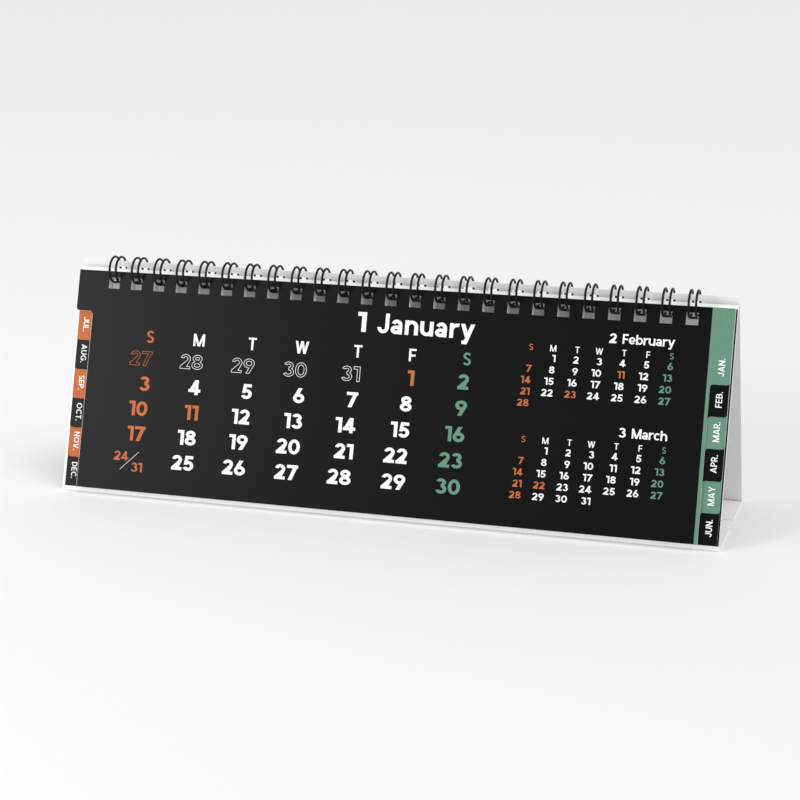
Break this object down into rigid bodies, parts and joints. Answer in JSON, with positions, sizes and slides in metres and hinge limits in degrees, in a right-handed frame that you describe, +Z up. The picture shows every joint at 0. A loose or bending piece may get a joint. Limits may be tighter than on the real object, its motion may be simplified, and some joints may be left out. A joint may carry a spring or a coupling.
{
  "type": "desk calendar",
  "caption": "Tent desk calendar: index-cut month sheets turn on a twin-loop wire at the top of a folded card stand.",
  "frame": {"origin": "middle of the bounding box's underside, on the table under the tent", "axes": "+X along the wire to the reader's right, -Y out of the front of the tent, +Z up"},
  "size_m": [0.2314, 0.055, 0.0799],
  "materials": {
    "card_white": "matte white card",
    "page_black": "satin black printing on white paper",
    "wire_black": "satin black coated wire",
    "ink_white": "white print",
    "ink_orange": "orange print",
    "ink_green": "green print"
  },
  "bodies": {
    "stand_front": {"front_panel": "card_white", "binding_wire": "wire_black"},
    "stand_back": {"back_panel": "card_white"},
    "base_front": {"base_front": "card_white"},
    "base_back": {"base_back": "card_white"},
    "sheet_january": {"sheet_january": "page_black"},
    "sheet_february": {"sheet_february": "page_black"},
    "sheet_march": {"sheet_march": "page_black"},
    "sheet_april": {"sheet_april": "page_black"},
    "sheet_may": {"sheet_may": "page_black"},
    "sheet_june": {"sheet_june": "page_black"},
    "sheet_july": {"sheet_july": "page_black"},
    "sheet_august": {"sheet_august": "page_black"},
    "sheet_september": {"sheet_september": "page_black"},
    "sheet_october": {"sheet_october": "page_black"},
    "sheet_november": {"sheet_november": "page_black"},
    "sheet_december": {"sheet_december": "page_black"}
  },
  "joints": [
    {"name": "stand_fold", "type": "hinge", "parent": "stand_front", "child": "stand_back", "pos_m": [0, -0.0012, 0.075], "axis": [-1, 0, 0], "range_deg": [0, 30]},
    {"name": "base_front_crease", "type": "hinge", "parent": "stand_front", "child": "base_front", "pos_m": [0, -0.02442, 0.00075], "axis": [1, 0, 0], "range_deg": [0, 70.5]},
    {"name": "base_back_crease", "type": "hinge", "parent": "stand_back", "child": "base_back", "pos_m": [0, 0.02679, 0.00075], "axis": [-1, 0, 0], "range_deg": [0, 70.5]},
    {"name": "december_turn", "type": "hinge", "parent": "stand_front", "child": "sheet_december", "pos_m": [0, -0.0012, 0.075], "axis": [-1, 0, 0], "range_deg": [0, 6]},
    {"name": "november_turn", "type": "hinge", "parent": "sheet_december", "child": "sheet_november", "pos_m": [0, -0.0012, 0.075], "axis": [-1, 0, 0], "range_deg": [0, 6]},
    {"name": "october_turn", "type": "hinge", "parent": "sheet_november", "child": "sheet_october", "pos_m": [0, -0.0012, 0.075], "axis": [-1, 0, 0], "range_deg": [0, 6]},
    {"name": "september_turn", "type": "hinge", "parent": "sheet_october", "child": "sheet_september", "pos_m": [0, -0.0012, 0.075], "axis": [-1, 0, 0], "range_deg": [0, 6]},
    {"name": "august_turn", "type": "hinge", "parent": "sheet_september", "child": "sheet_august", "pos_m": [0, -0.0012, 0.075], "axis": [-1, 0, 0], "range_deg": [0, 6]},
    {"name": "july_turn", "type": "hinge", "parent": "sheet_august", "child": "sheet_july", "pos_m": [0, -0.0012, 0.075], "axis": [-1, 0, 0], "range_deg": [0, 6]},
    {"name": "june_turn", "type": "hinge", "parent": "sheet_july", "child": "sheet_june", "pos_m": [0, -0.0012, 0.075], "axis": [-1, 0, 0], "range_deg": [0, 6]},
    {"name": "may_turn", "type": "hinge", "parent": "sheet_june", "child": "sheet_may", "pos_m": [0, -0.0012, 0.075], "axis": [-1, 0, 0], "range_deg": [0, 6]},
    {"name": "april_turn", "type": "hinge", "parent": "sheet_may", "child": "sheet_april", "pos_m": [0, -0.0012, 0.075], "axis": [-1, 0, 0], "range_deg": [0, 6]},
    {"name": "march_turn", "type": "hinge", "parent": "sheet_april", "child": "sheet_march", "pos_m": [0, -0.0012, 0.075], "axis": [-1, 0, 0], "range_deg": [0, 6]},
    {"name": "february_turn", "type": "hinge", "parent": "sheet_march", "child": "sheet_february", "pos_m": [0, -0.0012, 0.075], "axis": [-1, 0, 0], "range_deg": [0, 6]},
    {"name": "january_turn", "type": "hinge", "parent": "sheet_february", "child": "sheet_january", "pos_m": [0, -0.0012, 0.075], "axis": [-1, 0, 0], "range_deg": [0, 112]}
  ],
  "couplings": [
    {"joint": "base_front_crease", "follows": "stand_fold", "ratio": 2.3333},
    {"joint": "base_back_crease", "follows": "stand_fold", "ratio": 2.3333}
  ]
}
